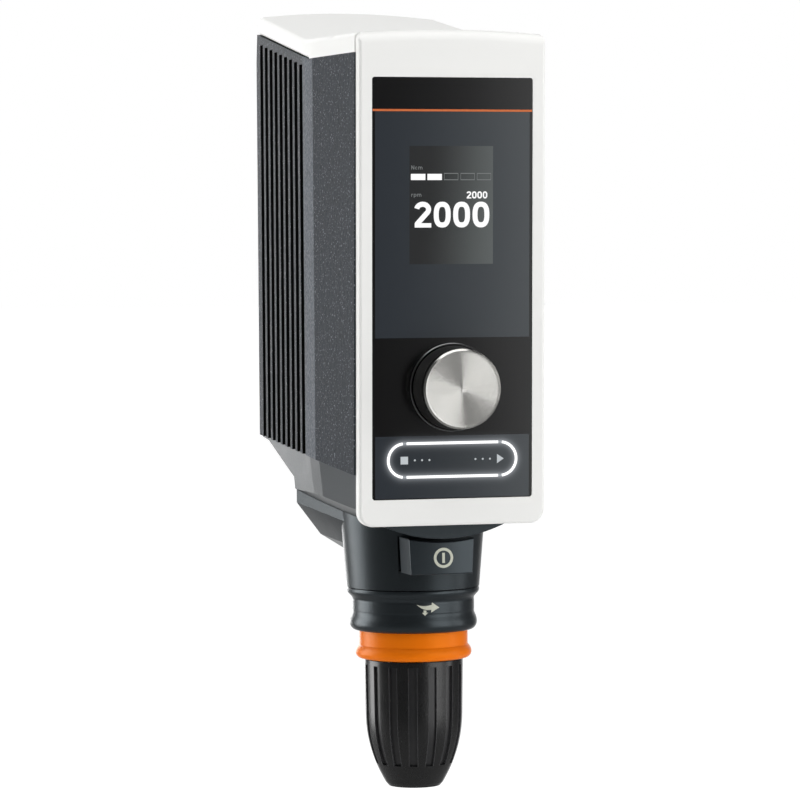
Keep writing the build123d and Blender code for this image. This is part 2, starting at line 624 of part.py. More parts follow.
def mains_inlet():
    """Panel inlet: flange, body and a recess with three flat pins."""
    front = 99.0
    back = 118.6
    body = Pos(0, (front + back) / 2, INLET_Z) * Box(28, back - front, 20)
    flange = Pos(0, back + 0.8, INLET_Z) * Box(31, 1.6, 23)
    flange = fillet(flange.edges().filter_by(Axis.Y), 3)
    inlet = body + flange
    inlet -= Pos(0, back + 1.6 - 8, INLET_Z) * Box(24.4, 16, 16.4)
    for x, z in ((-7, -2), (7, -2), (0, 2)):
        inlet += Pos(x, back + 1.6 - 16 + 4.5, INLET_Z + z) * Box(2, 9, 4)
    return inlet


def support_rod():
    step_y = PAD_Y + NUT_HIGH
    thin = Rot(90, 0, 0) * Cylinder(ROD_THREAD_R, step_y - UPRIGHT_Y)
    thin = Pos(0, (UPRIGHT_Y + step_y) / 2, ROD_Z) * thin
    thick = Rot(90, 0, 0) * Cylinder(ROD_R, ROD_END_Y - step_y)
    thick = Pos(0, (ROD_END_Y + step_y) / 2, ROD_Z) * thick
    thick = chamfer(thick.edges().sort_by(Axis.Y)[-1], 1)
    return thin + thick


def rod_nut():
    nut = extrude(RegularPolygon(11, 6, major_radius=False), NUT_HIGH)
    nut &= Pos(0, 0, NUT_HIGH / 2) * Sphere(13.1)
    nut -= Cylinder(ROD_THREAD_R, 40)
    return Pos(0, PAD_Y, ROD_Z) * Rot(-90, 0, 0) * nut


# --------------------------------------------------------------------- chuck

def jaw_lean_place(i):
    """Frame of one jaw's guide: origin on its axis level with the jaw's open lower end."""
    return Rot(0, 0, 30 + 360 / JAWS * i) * Location((JAW_AXIS_R, 0, JAW_Z[0]), (0, JAW_LEAN, 0))


def chuck_body():
    body = turned([(CHUCK_BORE_R, 0), (CHUCK_NOSE_R - 0.6, 0), (CHUCK_NOSE_R, 0.6), (CHUCK_NOSE_R, 2.2),
                   (CHUCK_BODY_R, 12), (CHUCK_BODY_R, RING_FOOT_Z), (16, RING_FOOT_Z), (16, 66),
                   (SPINDLE_R, 66), (SPINDLE_R, CHUCK_BORE_DEEP), (CHUCK_BORE_R, CHUCK_BORE_DEEP)])
    for i in range(JAWS):
        body -= jaw_lean_place(i) * Pos(0, 0, 6) * Cylinder(JAW_R + RUNNING, 50)
    return body


def jaw(i):
    """Round jaw in a slanted guide, with a flat gripping face between two bevels."""
    bar = jaw_lean_place(i) * Cylinder(JAW_R, 90)
    face = 1.6
    bevel = 1.05
    flank_x = JAW_FACE_R + bevel
    flank_y = face + bevel * tan(radians(60))
    wedge = Polyline((JAW_FACE_R, -face), (JAW_FACE_R, face), (flank_x, flank_y), (30, 9), (30, -9),
                     (flank_x, -flank_y), close=True)
    room = Pos(0, 0, JAW_Z[0]) * extrude(make_face(wedge), JAW_Z[1] - JAW_Z[0])
    return bar & Rot(0, 0, 30 + 360 / JAWS * i) * room


def jaw_nut():
    slope = tan(radians(JAW_LEAN))
    reach = JAW_R / cos(radians(JAW_LEAN)) + 0.25
    low = JAW_AXIS_R + (NUT_Z[0] - JAW_Z[0]) * slope + reach
    high = JAW_AXIS_R + (NUT_Z[1] - JAW_Z[0]) * slope + reach
    return turned([(low, NUT_Z[0]), (NUT_R, NUT_Z[0]), (NUT_R, NUT_Z[1]), (high, NUT_Z[1])])


def sleeve_outline(inset):
    """Outer line of the sleeve from its top to its nose, moved in by inset."""
    top = Line((22.1 - inset, SLEEVE_TOP_Z), (21.75 - inset, 34))
    nose = Spline((21.75 - inset, 34), (21.1 - inset, 24.5), (19.05 - inset, 15.4), (15.6 - inset, 6.6),
                  (12.9 - inset, 1.5), tangents=[(-0.015, -1), (-0.55, -1)])
    return top, nose


def chuck_sleeve():
    top, nose = sleeve_outline(0)
    loose = CHUCK_BODY_R + 0.5
    guided = CHUCK_BODY_R + RUNNING
    inner = [(12.9, 1.5), (11.6, 0), (9.4, 0), (9.4, 1.8), (loose, 11.7), (loose, 14), (guided, 14.4),
             (guided, 32), (NUT_R, 33.4), (NUT_R, SLEEVE_TOP_Z), (22.1, SLEEVE_TOP_Z)]
    outline = top + nose + Polyline(*inner)
    sleeve = revolve(Plane.XZ * make_face(outline.edges()), Axis.Z)
    return sleeve - flutes()


def flutes():
    """Grooves round the sleeve, which follow its ogive at an even depth."""
    top, nose = sleeve_outline(FLUTE_DEEP)
    end = nose @ 1
    outline = top + nose + Polyline(end, (30, end.Y), (30, SLEEVE_TOP_Z), (22.1 - FLUTE_DEEP, SLEEVE_TOP_Z))
    band = revolve(Plane.XZ * make_face(outline.edges()), Axis.Z)
    low, high = FLUTE_Z
    bar = Pos(20, 0, (low + high) / 2) * Box(30, FLUTE_WIDE, high - low)
    return [band & Rot(0, 0, FLUTE_START + i * 360 / FLUTES) * bar for i in range(FLUTES)]


NODES = {
    "front_frame": front_frame,
    "front_glass": front_glass,
    "display_module": display_module,
    "light_guide": light_guide,
    "control_board": control_board,
    "knob_ring": knob_ring,
    "knob_grip": knob_grip,
    "knob_cap": knob_cap,
    "knob_shaft": knob_shaft,
    "encoder_plunger": encoder_plunger,
    "encoder_body": encoder_body,
    "top_hood": top_hood,
    "side_shell_left": side_shell_left,
    "side_shell_right": side_shell_right,
    "rear_cover": rear_cover,
    "rear_screws": rear_screws,
    "lower_housing": lower_housing,
    "power_button": power_button,
    "power_switch": power_switch,
    "lower_bearing": lambda: bearing(LOWER_BEARING_Z),
    "upper_bearing": lambda: bearing(UPPER_BEARING_Z),
    "cam_ring": cam_ring,
    "lock_collar": lock_collar,
    "drive_ring": drive_ring,
    "spindle": spindle,
    "spindle_pulley": lambda: pulley(SPINDLE_PULLEY_R, SPINDLE_R, 13),
    "drive_belt": drive_belt,
    "motor_pulley": motor_pulley,
    "motor_rotor": motor_rotor,
    "motor_stator": motor_stator,
    "drive_frame": drive_frame,
    "power_board": power_board,
    "mains_inlet": mains_inlet,
    "support_rod": support_rod,
    "rod_nut": rod_nut,
    "chuck_body": chuck_body,
    "jaw_nut": jaw_nut,
    "jaw_1": lambda: jaw(0),
    "jaw_2": lambda: jaw(1),
    "jaw_3": lambda: jaw(2),
    "chuck_sleeve": chuck_sleeve,
}

os.makedirs("parts", exist_ok=True)
for name, make in NODES.items():
    shape = make()
    export_step(shape, f"parts/{name}.step")
    print(name, round(shape.volume, 1), shape.is_valid)
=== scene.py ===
import json
import math

import bmesh
import bpy
from mathutils import Matrix, Vector


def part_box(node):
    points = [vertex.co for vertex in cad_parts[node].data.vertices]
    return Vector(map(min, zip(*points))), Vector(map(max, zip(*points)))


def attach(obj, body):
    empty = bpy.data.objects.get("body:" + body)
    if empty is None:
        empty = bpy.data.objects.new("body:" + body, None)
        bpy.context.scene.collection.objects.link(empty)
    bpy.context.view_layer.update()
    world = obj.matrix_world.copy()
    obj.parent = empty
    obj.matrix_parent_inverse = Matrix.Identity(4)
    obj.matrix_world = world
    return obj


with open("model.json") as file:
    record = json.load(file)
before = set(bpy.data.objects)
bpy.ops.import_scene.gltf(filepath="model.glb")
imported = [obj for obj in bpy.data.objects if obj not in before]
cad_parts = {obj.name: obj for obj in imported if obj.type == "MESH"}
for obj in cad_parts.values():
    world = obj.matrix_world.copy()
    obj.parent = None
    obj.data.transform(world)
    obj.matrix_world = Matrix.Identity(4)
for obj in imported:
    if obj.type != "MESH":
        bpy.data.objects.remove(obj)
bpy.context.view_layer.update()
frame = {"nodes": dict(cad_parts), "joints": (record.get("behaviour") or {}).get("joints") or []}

# ---------------------------------------------------------------- drive frame
# The bracket inside the head: a plate that carries the motor and an upright that takes the
# support rod. Cast aluminium, bead-blasted grey, with a faint casting grain and worn patches.

mm = 0.001


class Wire:
    """A socket among one finish's nodes. Sums on wires add Math nodes."""

    def __init__(self, tree, socket=None):
        self.tree = tree
        self.socket = socket

    def add(self, kind, settings=None, inputs=None, output=0):
        """Adds a node: its settings first, then the values or wires of its sockets."""
        node = self.tree.nodes.new("ShaderNode" + kind)
        for name, value in (settings or {}).items():
            setattr(node, name, value)
        for name, value in (inputs or {}).items():
            if isinstance(value, Wire):
                self.tree.links.new(value.socket, node.inputs[name])
            else:
                node.inputs[name].default_value = value
        return Wire(self.tree, node.outputs[output] if node.outputs else None)

    def math(self, operation, *values):
        return self.add("Math", {"operation": operation}, dict(enumerate(values)))

    def __add__(self, other):
        return self.math("ADD", self, other)

    def __radd__(self, other):
        return self.math("ADD", other, self)

    def __sub__(self, other):
        return self.math("SUBTRACT", self, other)

    def __rsub__(self, other):
        return self.math("SUBTRACT", other, self)

    def __mul__(self, other):
        return self.math("MULTIPLY", self, other)

    def __rmul__(self, other):
        return self.math("MULTIPLY", other, self)

    def __truediv__(self, other):
        return self.math("DIVIDE", self, other)

    def __rtruediv__(self, other):
        return self.math("DIVIDE", other, self)

    def __pow__(self, other):
        return self.math("POWER", self, other)

    def __rpow__(self, other):
        return self.math("POWER", other, self)

    def __abs__(self):
        return self.math("ABSOLUTE", self)

    def vector(self, operation, *values, output=0, **named):
        """A Vector Math node on these values; its output 1 is a number, such as a length."""
        inputs = {**dict(enumerate(values)), **named}
        return self.add("VectorMath", {"operation": operation}, inputs, output)

    def ramp(self, low, high):
        """0 below low, 1 above high and a smooth climb between them."""
        settings = {"interpolation_type": "SMOOTHSTEP"}
        return self.add("MapRange", settings, {"Value": self, "From Min": low, "From Max": high})

    def blend(self, under, over):
        """The colour under this mask's 0 and over its 1."""
        return self.add("Mix", {"data_type": "RGBA"}, {0: self, 6: under, 7: over}, output=2)

    def spot(self):
        """Where a point lies in the piece's own space."""
        return self.add("TexCoord", output="Object")

    def spot_axes(self):
        """The same as three wires: x, y and z."""
        split = self.add("SeparateXYZ", None, {0: self.spot()}).socket.node
        return [Wire(self.tree, socket) for socket in split.outputs]

    def grain(self, size, detail=2.0, stretch=(1, 1, 1)):
        """Noise from 0 to 1 in the piece's own space, with features of about this size."""
        spot = self.vector("MULTIPLY", self.spot(), stretch)
        return self.add("TexNoise", None, {"Vector": spot, "Scale": 0.5 / size, "Detail": detail})

    def dent(self, height, depth):
        """A normal that tilts with this height, of the given depth in metres."""
        return self.add("Bump", None, {"Height": height, "Distance": depth, "Strength": 1.0})

    def close(self, inputs):
        """Ends the finish in a shader with these values and wires."""
        shader = self.add("BsdfPrincipled", None, inputs)
        self.add("OutputMaterial", None, {"Surface": shader})


def new_finish(name):
    """A material and the wire that its nodes start from."""
    material = bpy.data.materials.new(name)
    material.use_nodes = True
    material.node_tree.nodes.clear()
    return material, Wire(material.node_tree)


def tone(code, shade=1.0):
    """Linear colour of a chart code such as #4a4e52, made darker or lighter by shade."""
    parts = [int(code[i:i + 2], 16) / 255 for i in (1, 3, 5)]
    linear = [p / 12.92 if p < 0.04 else ((p + 0.055) / 1.055) ** 2.4 for p in parts]
    return (*[min(1.0, p * shade) for p in linear], 1)


def dress(material, *nodes):
    """Gives CAD nodes a finish."""
    for node in nodes:
        for place in frame["nodes"][node].material_slots:
            place.material = material


def cast_metal():
    material, wire = new_finish("cast_metal")
    sand = wire.grain(0.6 * mm, 4)
    worn = wire.grain(14 * mm).ramp(0.52, 0.7)
    wire.close({"Base Color": worn.blend(tone("#9a9c9e"), tone("#b4b6b8")), "Metallic": 1.0,
                "Roughness": 0.5 - worn * 0.12 + sand * 0.1,
                "Normal": wire.dent(sand, 0.12 * mm)})
    return material


dress(cast_metal(), "drive_frame")

# --------------------------------------------------------------- motor and belt drive
# Brushless motor with a black can, a laminated rotor and turned aluminium pulleys joined by a
# rubber belt. The motor hangs from the bracket's plate by its nose.


def black_can():
    material, wire = new_finish("black_can")
    orange_peel = wire.grain(1.6 * mm)
    scuffs = wire.grain(9 * mm, 5).ramp(0.6, 0.75)
    wire.close({"Base Color": scuffs.blend(tone("#232425"), tone("#3a3b3c")),
                "Roughness": 0.4 + scuffs * 0.2,
                "Normal": wire.dent(orange_peel, 0.06 * mm)})
    return material


def laminated_steel():
    """Thin stacked sheets, so the tone changes in level lines."""
    material, wire = new_finish("laminated_steel")
    sheets = wire.grain(0.5 * mm, 1, (0.01, 0.01, 1))
    stain = wire.grain(12 * mm).ramp(0.4, 0.7)
    base = (sheets * 0.7 + stain * 0.3).blend(tone("#6f675c"), tone("#a39a8c"))
    wire.close({"Base Color": base, "Metallic": 1.0, "Roughness": 0.38 + sheets * 0.15,
                "Normal": wire.dent(sheets, 0.05 * mm)})
    return material


def turned_aluminium():
    material, wire = new_finish("turned_aluminium")
    lines = wire.grain(0.25 * mm, 1, (0.02, 0.02, 1))
    haze = wire.grain(8 * mm)
    wire.close({"Base Color": haze.blend(tone("#a8abad"), tone("#c6c8ca")), "Metallic": 1.0,
                "Roughness": 0.28 + lines * 0.14, "Normal": wire.dent(lines, 0.03 * mm)})
    return material


def belt_rubber():
    material, wire = new_finish("belt_rubber")
    bloom = wire.grain(5 * mm, 4).ramp(0.45, 0.75)
    weave = wire.grain(0.4 * mm)
    wire.close({"Base Color": bloom.blend(tone("#191919"), tone("#2c2b2a")),
                "Roughness": 0.72 + bloom * 0.12,
                "Normal": wire.dent(weave, 0.08 * mm)})
    return material


dress(black_can(), "motor_stator")
dress(laminated_steel(), "motor_rotor")
dress(turned_aluminium(), "spindle_pulley", "motor_pulley")
dress(belt_rubber(), "drive_belt")

# ------------------------------------------------------- spindle, bearings, jaws and rod
# Everything that runs or grips is ground steel, with fine lines round the axis of its grinding.
# The bearings press into the lower housing, the spindle runs in them, the jaws slide in its nose.

LINES_ROUND_Z = (0.03, 0.03, 1)
LINES_ROUND_Y = (0.03, 1, 0.03)
NO_LINES = (1, 1, 1)


def ground_steel(name, code, stretch, rough):
    """Bright steel; stretch draws its grain out into the lines of the grinding."""
    material, wire = new_finish(name)
    lines = wire.grain(0.2 * mm, 2, stretch)
    film = wire.grain(11 * mm, 3)
    base = (film * 0.6 + lines * 0.4).blend(tone(code, 0.82), tone(code, 1.12))
    wire.close({"Base Color": base, "Metallic": 1.0,
                "Roughness": rough + lines * 0.12 + film * 0.06,
                "Normal": wire.dent(lines, 0.02 * mm)})
    return material


dress(ground_steel("spindle_steel", "#a9aaab", LINES_ROUND_Z, 0.24),
      "spindle", "lower_bearing", "upper_bearing", "chuck_body", "jaw_nut",
      "jaw_1", "jaw_2", "jaw_3")
dress(ground_steel("rod_steel", "#c2c3c4", LINES_ROUND_Y, 0.16), "support_rod")
dress(ground_steel("nut_steel", "#8f9192", NO_LINES, 0.3),
      "rod_nut", "rear_screws", "knob_shaft", "encoder_plunger")

# ------------------------------------------------------------------ circuit boards
# The control board stands behind the front frame and the power board on the bracket's upright:
# glass-fibre board under green solder mask. The encoder, the switch, the mains inlet and the
# collar's cam ring beside them are plain black mouldings.

BOARD_SCALE = 160.0
TRACK_SHARE = 0.06
TRACK = (1, 1, 1, 1)
BARE_BOARD = (0, 0, 0, 1)
COPPER_FIELD = (0.4, 0.4, 0.4, 1)
MOTTLE_SPREAD = 0.08
COOL_SHINE = (0.8, 0.93, 1.0, 1)


def board_green():
    material, wire = new_finish("board_green")
    tracks = wire.add("TexBrick", {"offset": 0.5},
                      {"Vector": wire.spot(), "Scale": BOARD_SCALE, "Mortar Size": TRACK_SHARE,
                       "Color1": BARE_BOARD, "Color2": COPPER_FIELD, "Mortar": TRACK}, output=1)
    mottle = wire.grain(3 * mm)
    base = tracks.blend(mottle.blend(tone("#0e3b26"), tone("#165035")), tone("#2b7a50"))
    wire.close({"Base Color": base, "Roughness": 0.34 + mottle * 0.1,
                "Normal": wire.dent(tracks, 0.05 * mm)})
    return material


def moulded(name, code, rough, pebble, depth, specular=0.5):
    """Moulded plastic: a faint mottle, a pebbled skin and gloss that varies with handling."""
    material, wire = new_finish(name)
    mottle = wire.grain(22 * mm, 3)
    skin = wire.grain(pebble, 3)
    handled = wire.grain(9 * mm, 4).ramp(0.5, 0.8)
    base = mottle.blend(tone(code, 1 - MOTTLE_SPREAD), tone(code, 1 + MOTTLE_SPREAD))
    wire.close({"Base Color": base, "Roughness": rough - handled * 0.05 + skin * 0.06,
                "Specular IOR Level": specular, "Specular Tint": COOL_SHINE,
                "Normal": wire.dent(skin, depth)})
    return material


dress(board_green(), "control_board", "power_board")
dress(moulded("black_plastic", "#1e1f20", 0.42, 0.4 * mm, 0.05 * mm),
      "encoder_body", "power_switch", "cam_ring", "mains_inlet")

# ----------------------------------------------------------------- lower housing
# The underside of the head and the neck under it: one moulding of dark grey glass-filled plastic.
# Satin from a fine spark-eroded tool, so it shines softly where it turns away from the eye.

dress(moulded("dark_housing", "#191d20", 0.32, 0.35 * mm, 0.04 * mm, 0.62), "lower_housing")

# ------------------------------------------------------------------ power button
# A deep rocker key in the neck, in the housing's plastic but smoother, with a pale printed
# symbol: a ring with a bar in it, which is the plain sign for on and off.

BUTTON_FACE_R = 75 * mm
SYMBOL_X = 0.3 * mm
SYMBOL_Z = 105.5 * mm
SYMBOL_R = 3.8 * mm
SYMBOL_LINE = 1.2 * mm
SYMBOL_BAR = 4.4 * mm
SYMBOL_STEPS = 48
INK_THICK = 0.08 * mm
WELD = 1e-7

button_front_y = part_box("power_button")[0].y


def arc(centre, radius, start, end, steps, squeeze=1.0):
    """Points on an arc from start to end degrees; squeeze narrows it sideways."""
    points = []
    for i in range(steps + 1):
        turn = math.radians(start + (end - start) * i / steps)
        points.append((centre[0] + radius * squeeze * math.cos(turn),
                       centre[1] + radius * math.sin(turn)))
    return points


def stroke(points, width, closed=False):
    """The two edges of a line of this width drawn along the points."""
    count = len(points)
    left, right = [], []
    for i, (x, y) in enumerate(points):
        before = points[i - 1] if closed or i else points[i]
        after = points[(i + 1) % count] if closed or i < count - 1 else points[i]
        away = Vector((after[0] - before[0], after[1] - before[1])).normalized()
        side = Vector((-away.y, away.x)) * (width / 2)
        left.append((x + side.x, y + side.y))
        right.append((x - side.x, y - side.y))
    return left, right


def bar(x0, y0, x1, y1, steps=1):
    """The lower and upper edges of a rectangle, divided so that it can follow a curved face."""
    xs = [x0 + (x1 - x0) * i / steps for i in range(steps + 1)]
    return [(x, y0) for x in xs], [(x, y1) for x in xs]


def add_band(mesh, edges, place, closed=False):
    """Ink between two edges; place turns (x, y, height) into a point on the printed face."""
    rows = []
    for a, b in zip(*edges):
        corners = [place(*a, INK_THICK), place(*b, INK_THICK), place(*b, 0), place(*a, 0)]
        rows.append([mesh.verts.new(corner) for corner in corners])
    spans = list(zip(rows, rows[1:]))
    if closed:
        spans.append((rows[-1], rows[0]))
    else:
        mesh.faces.new(rows[0])
        mesh.faces.new(rows[-1][::-1])
    for near, far in spans:
        for i in range(4):
            mesh.faces.new([near[i], near[i - 1], far[i - 1], far[i]])


def piece_from(mesh, name, material, body):
    """Makes a finished object of a bmesh and puts it on its body."""
    bmesh.ops.remove_doubles(mesh, verts=mesh.verts, dist=WELD)
    bmesh.ops.dissolve_degenerate(mesh, edges=mesh.edges, dist=WELD)
    bmesh.ops.recalc_face_normals(mesh, faces=mesh.faces)
    data = bpy.data.meshes.new(name)
    mesh.to_mesh(data)
    mesh.free()
    data.materials.append(material)
    piece = bpy.data.objects.new(name, data)
    bpy.context.scene.collection.objects.link(piece)
    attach(piece, body)


def on_button(x, z, height):
    """A point on the button's bowed front face."""
    bow = BUTTON_FACE_R - math.sqrt(BUTTON_FACE_R ** 2 - x * x)
    return (x, button_front_y + bow - height, z)


def pale_ink():
    """Screen-printed ink, a little uneven where the screen lifted."""
    material, wire = new_finish("pale_ink")
    lift = wire.grain(0.5 * mm, 3)
    wire.close({"Base Color": lift.blend(tone("#c2c4b4"), tone("#dadccd")),
                "Roughness": 0.5 + lift * 0.15,
                "Normal": wire.dent(lift, 0.02 * mm)})
    return material


def power_symbol():
    mesh = bmesh.new()
    ring = arc((SYMBOL_X, SYMBOL_Z), SYMBOL_R, 0, 360, SYMBOL_STEPS)[:-1]
    add_band(mesh, stroke(ring, SYMBOL_LINE, True), on_button, closed=True)
    half = SYMBOL_LINE / 2
    low, high = SYMBOL_Z - SYMBOL_BAR / 2, SYMBOL_Z + SYMBOL_BAR / 2
    add_band(mesh, bar(SYMBOL_X - half, low, SYMBOL_X + half, high), on_button)
    return mesh


dress(moulded("button_grey", "#24292d", 0.3, 0.3 * mm, 0.03 * mm, 0.62), "power_button")
ink = pale_ink()
piece_from(power_symbol(), "power_symbol", ink, "power_button")

# ------------------------------------------------------------------ locking collar
# A grey plastic ring that turns under the neck and drops to lock the drive ring. Its waist
# carries two printed arrows: a long swept one for the way to turn, and a short one for the drop.

WAIST_R = 27.3 * mm

# The arrows' edges in mm: along the waist to the right of the front, and up.
SWEEP_UPPER = [(-6.15, 83.4), (-4.9, 82.95), (-3.6, 82.75), (-2.2, 82.75), (-0.8, 82.9),
               (0.8, 83.25)]
SWEEP_LOWER = [(-6.15, 83.35), (-5.1, 82.5), (-3.9, 81.65), (-2.5, 81.15), (-1.2, 80.95),
               (0.5, 81.0)]
HEAD_UPPER = [(0.75, 84.3), (1.9, 83.5), (3.0, 82.75), (4.2, 81.95)]
HEAD_LOWER = [(0.35, 79.8), (1.6, 80.5), (2.9, 81.2), (4.2, 81.9)]
DROP_STEM = (-3.05, 79.8, -1.8, 80.8)
DROP_UPPER = [(-3.8, 79.8), (-3.1, 79.8), (-2.43, 79.8), (-1.75, 79.8), (-1.05, 79.8)]
DROP_LOWER = [(-3.8, 79.75), (-3.1, 79.1), (-2.43, 78.4), (-1.75, 79.1), (-1.05, 79.75)]


def on_waist(s, z, height):
    """A point on the collar's waist, s round it to the right of the front."""
    turn = s / WAIST_R
    reach = WAIST_R + height
    return (reach * math.sin(turn), -reach * math.cos(turn), z)


def in_mm(points):
    return [(x * mm, y * mm) for x, y in points]


def collar_arrows():
    mesh = bmesh.new()
    for upper, lower in ((SWEEP_UPPER, SWEEP_LOWER), (HEAD_UPPER, HEAD_LOWER),
                         (DROP_UPPER, DROP_LOWER)):
        add_band(mesh, (in_mm(upper), in_mm(lower)), on_waist)
    add_band(mesh, bar(*[side * mm for side in DROP_STEM], 2), on_waist)
    return mesh


dress(moulded("collar_grey", "#1c2023", 0.3, 0.35 * mm, 0.04 * mm, 0.65), "lock_collar")
piece_from(collar_arrows(), "collar_arrows", ink, "lock_collar")

# ---------------------------------------------------------- drive ring and chuck sleeve
# The orange ring turns with the spindle and holds it against the sleeve. The sleeve below is
# black glass-filled plastic, fluted for the fingers, with the grain of its fibres. Its flutes
# keep the dull skin of the tool; their floors carry a painted reflection and their edges a
# painted highlight.

ORANGE_SHINE = (1.0, 0.5, 0.12, 1)
FLUTES = 15
FLUTE_HALF = 1.8 * mm
FLUTE_START = 12.8                      # degrees from +X to the first flute
FLUTE_Z = (10.2 * mm, 54.8 * mm)
FLUTE_SOFT = 0.2 * mm
EDGE_SHEEN_IN = 0.1 * mm
EDGE_SHEEN_OUT = 0.25 * mm
MASK_SOFT = 0.12 * mm


def orange_plastic():
    material, wire = new_finish("orange_plastic")
    flow = wire.grain(12 * mm, 3, (1, 1, 2.5))
    skin = wire.grain(0.5 * mm)
    wire.close({"Base Color": flow.blend(tone("#ef7208"), tone("#f67d10")),
                "Roughness": 0.3 + flow * 0.06,
                "Specular IOR Level": 0.4, "Specular Tint": ORANGE_SHINE,
                "Normal": wire.dent(skin, 0.03 * mm)})
    return material


def inside(value, low, high, soft=MASK_SOFT):
    """1 where value is between low and high, with a soft edge."""
    return value.ramp(low - soft, low + soft) * (1 - value.ramp(high - soft, high + soft))


def from_flute(wire):
    """A point's sideways distance from the middle of its nearest flute, and its height."""
    x, y, z = wire.spot_axes()
    turns = wire.math("ARCTAN2", y, x) / (2 * math.pi) - FLUTE_START / 360
    off_middle = (wire.math("FRACT", turns * FLUTES + 0.5) - 0.5) * (2 * math.pi / FLUTES)
    return wire.math("SQRT", x ** 2 + y ** 2) * wire.math("SINE", off_middle), z


def sleeve_black():
    material, wire = new_finish("sleeve_black")
    fibres = wire.grain(0.5 * mm, 4, (1, 1, 0.12))
    skin = wire.grain(0.3 * mm, 2)
    worn = wire.grain(7 * mm, 3).ramp(0.45, 0.75)
    sideways, height = from_flute(wire)
    off_middle = abs(sideways)
    in_length = inside(height, *FLUTE_Z)
    # Painted light: the flute floors are painted lighter as a painted reflection, and a thin
    # painted highlight lines each flute's edges.
    flute = (1 - off_middle.ramp(FLUTE_HALF - FLUTE_SOFT, FLUTE_HALF)) * in_length
    wear_and_sheen = inside(off_middle, FLUTE_HALF - EDGE_SHEEN_IN, FLUTE_HALF + EDGE_SHEEN_OUT) * in_length
    base = (worn * 0.5 + fibres * 0.5).blend(tone("#0a0a0b"), tone("#121213"))
    base = flute.blend(base, tone("#1e1e20"))
    base = (wear_and_sheen * (0.5 + fibres * 0.5)).blend(base, tone("#454547"))
    wire.close({"Base Color": base,
                "Roughness": 0.22 + fibres * 0.1 - worn * 0.04 + flute * 0.12,
                "Specular IOR Level": 0.7, "Normal": wire.dent(skin, 0.03 * mm)})
    return material


dress(orange_plastic(), "drive_ring")
dress(sleeve_black(), "chuck_sleeve")

# -------------------------------------------------------- side shells and rear cover
# Die-cast aluminium shells with nine cooling slots in each, powder-coated dark grey with a
# hammered, sparkling texture. A patchy painted highlight runs paler along the bend, where light
# catches the turn of the shell, and the slots' walls are painted near-black as painted shade.

WIDEST_HALF = 46.5 * mm
REAR_HALF = 43.6 * mm
FINS_FROM_Y = 9 * mm
FINS_TO_Y = 101.5 * mm
SHELL_REAR_Y = 110.5 * mm
SLOT_SHADE_LIP = 0.04 * mm
BEND_Y = (-7 * mm, 10.5 * mm)
BEND_SOFT = 0.8 * mm


def hammered_coat(name, slotted):
    material, wire = new_finish(name)
    hammer = wire.grain(1.3 * mm, 3)
    flakes = wire.grain(0.45 * mm, 1).ramp(0.62, 0.74)
    dark_spots = wire.grain(0.8 * mm, 2).ramp(0.55, 0.7)
    cloud = wire.grain(18 * mm, 2)
    base = cloud.blend(tone("#2a2e34"), tone("#32373e"))
    base = (dark_spots * 0.7).blend(base, tone("#191c20"))
    base = (flakes * 0.75).blend(base, tone("#868b93"))
    rough = 0.46 - flakes * 0.12 + cloud * 0.06
    if slotted:
        across, along, _ = wire.spot_axes()
        taper = (WIDEST_HALF - REAR_HALF) / (SHELL_REAR_Y - FINS_FROM_Y)
        skin = WIDEST_HALF - (along - FINS_FROM_Y) * taper
        # Painted shade: the slots' walls and floors are painted near-black where shade falls in
        # them.
        sunk = (skin - abs(across)).ramp(SLOT_SHADE_LIP, 2 * SLOT_SHADE_LIP)
        sunk = sunk * inside(along, FINS_FROM_Y, FINS_TO_Y)
        # Painted highlight: the strip along the bend is painted paler, patchily, where light
        # catches the shell's turn.
        wear_and_sheen = wire.grain(0.7 * mm, 2).ramp(0.4, 0.62)
        bend = inside(along, *BEND_Y, BEND_SOFT) * (0.25 + wear_and_sheen * 0.35)
        base = bend.blend(base, tone("#747a82"))
        base = sunk.blend(base, tone("#08090a"))
        rough = rough + sunk * 0.2
    wire.close({"Base Color": base, "Roughness": rough, "Specular IOR Level": 0.11,
                "Normal": wire.dent(hammer + flakes * 0.6, 0.22 * mm)})
    return material


dress(hammered_coat("hammered_fins", True), "side_shell_left", "side_shell_right")
dress(hammered_coat("hammered_rear", False), "rear_cover")

# ------------------------------------------------------------- hood and front frame
# The white hood closes the head from above and the white frame carries the panel. Both are
# smooth satin polycarbonate, with the faintest waviness of large moulded faces.


def white_shell():
    material, wire = new_finish("white_shell")
    sink = wire.grain(60 * mm, 2)
    skin = wire.grain(0.35 * mm, 2)
    wear_and_sheen = wire.grain(16 * mm, 4).ramp(0.5, 0.8)
    wire.close({"Base Color": sink.blend(tone("#efefed"), tone("#f2f2f0")),
                "Roughness": 0.46 + skin * 0.06 - wear_and_sheen * 0.04,
                "Specular IOR Level": 0.3, "Normal": wire.dent(skin, 0.015 * mm)})
    return material


dress(white_shell(), "top_hood", "front_frame")

# --------------------------------------------------------------------- front glass
# One pane fills the frame, printed from behind: a black head band, two slate-grey fields and a
# black field round the knob, with a painted reflection that lightens the fields and the screen
# towards the right. A light ring shines through the lowest field, and its glow is in the glass.

